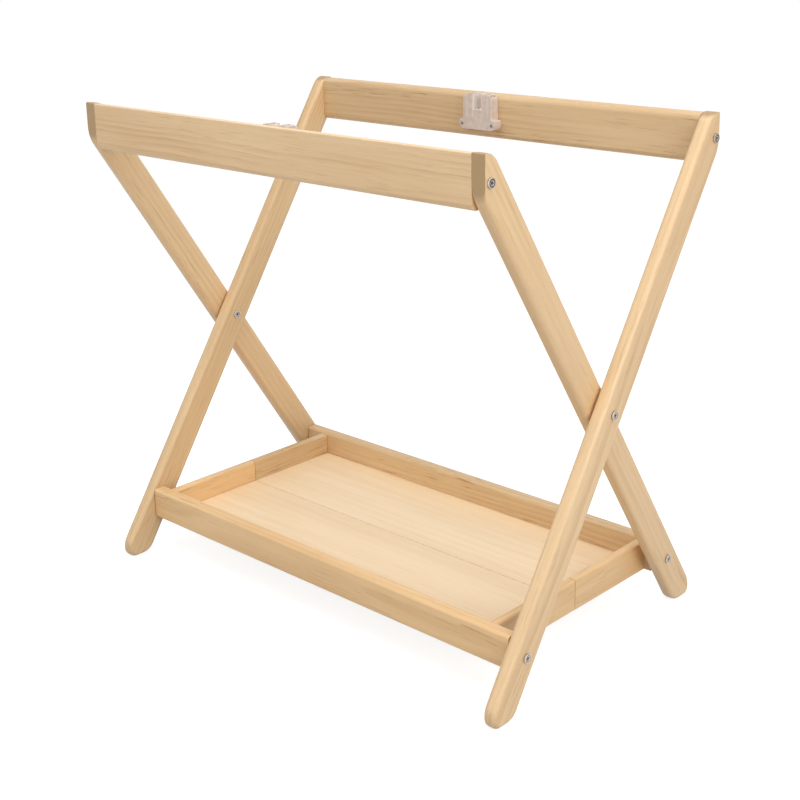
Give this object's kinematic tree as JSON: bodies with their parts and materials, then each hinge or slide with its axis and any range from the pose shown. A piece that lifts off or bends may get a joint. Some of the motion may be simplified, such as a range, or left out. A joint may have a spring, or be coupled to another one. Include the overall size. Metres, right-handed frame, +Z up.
{
  "type": "bassinet stand",
  "caption": "Folding wooden bassinet stand with crossing legs, a storage tray that folds up between the feet, and a clear bracket on each top rail.",
  "frame": {"origin": "on the floor under the middle of the open stand", "axes": "+X along the rails to the right, +Y from the front rail towards the rear rail, +Z up"},
  "size_m": [0.7852, 0.4724, 0.707],
  "materials": {
    "wood": "satin lacquered pale hardwood",
    "panel_wood": "satin lacquered pale plywood",
    "dowel_wood": "raw turned beech",
    "steel": "zinc plated",
    "brass": "plain",
    "clear_plastic": "clear moulded, glossy"
  },
  "bodies": {
    "front_frame": {"front_rail": "wood", "left_outer_leg": "wood", "right_inner_leg": "wood", "left_pivot_bolt": "steel", "left_pivot_nut": "steel", "left_pivot_washer": "steel", "front_bassinet_bracket": "clear_plastic", "front_rail_left_bolt": "steel", "front_rail_left_insert": "brass", "front_rail_left_dowel": "dowel_wood", "front_bracket_left_screw": "steel", "tray_back_left_bolt": "steel", "tray_back_left_washer": "steel", "front_rail_right_bolt": "steel", "front_rail_right_insert": "brass", "front_rail_right_dowel": "dowel_wood", "front_bracket_right_screw": "steel", "tray_back_right_bolt": "steel", "tray_back_right_washer": "steel"},
    "rear_frame": {"rear_rail": "wood", "right_outer_leg": "wood", "left_inner_leg": "wood", "right_pivot_bolt": "steel", "right_pivot_nut": "steel", "right_pivot_washer": "steel", "rear_bassinet_bracket": "clear_plastic", "rear_rail_left_bolt": "steel", "rear_rail_left_insert": "brass", "rear_rail_left_dowel": "dowel_wood", "rear_bracket_left_screw": "steel", "tray_front_left_bolt": "steel", "tray_front_left_washer": "steel", "rear_rail_right_bolt": "steel", "rear_rail_right_insert": "brass", "rear_rail_right_dowel": "dowel_wood", "rear_bracket_right_screw": "steel", "tray_front_right_bolt": "steel", "tray_front_right_washer": "steel"},
    "tray_back_half": {"tray_back_board": "wood", "tray_back_panel": "panel_wood", "tray_back_left_end_board": "wood", "tray_back_left_dowel": "dowel_wood", "tray_back_left_insert": "brass", "hinge_left_back_leaf": "steel", "hinge_left_pin": "steel", "tray_back_right_end_board": "wood", "tray_back_right_dowel": "dowel_wood", "tray_back_right_insert": "brass", "hinge_right_back_leaf": "steel", "hinge_right_pin": "steel"},
    "tray_front_half": {"tray_front_board": "wood", "tray_front_panel": "panel_wood", "tray_front_left_end_board": "wood", "tray_front_left_dowel": "dowel_wood", "tray_front_left_insert": "brass", "hinge_left_front_leaf": "steel", "tray_front_right_end_board": "wood", "tray_front_right_dowel": "dowel_wood", "tray_front_right_insert": "brass", "hinge_right_front_leaf": "steel"}
  },
  "joints": [
    {"name": "scissor_fold", "type": "hinge", "parent": "front_frame", "child": "rear_frame", "pos_m": [0, 0, 0.346], "axis": [1, 0, 0], "range_deg": [0, 54]},
    {"name": "tray_back_fold", "type": "hinge", "parent": "front_frame", "child": "tray_back_half", "pos_m": [0, 0.17486, 0.0767], "axis": [-1, 0, 0], "range_deg": [0, 60.36]},
    {"name": "tray_middle_fold", "type": "hinge", "parent": "tray_back_half", "child": "tray_front_half", "pos_m": [0, 0, 0.0512], "axis": [1, 0, 0], "range_deg": [0, 174.71]}
  ],
  "couplings": [
    {"joint": "tray_back_fold", "follows": "scissor_fold", "ratio": 1.1177},
    {"joint": "tray_middle_fold", "follows": "scissor_fold", "ratio": 3.2354}
  ]
}
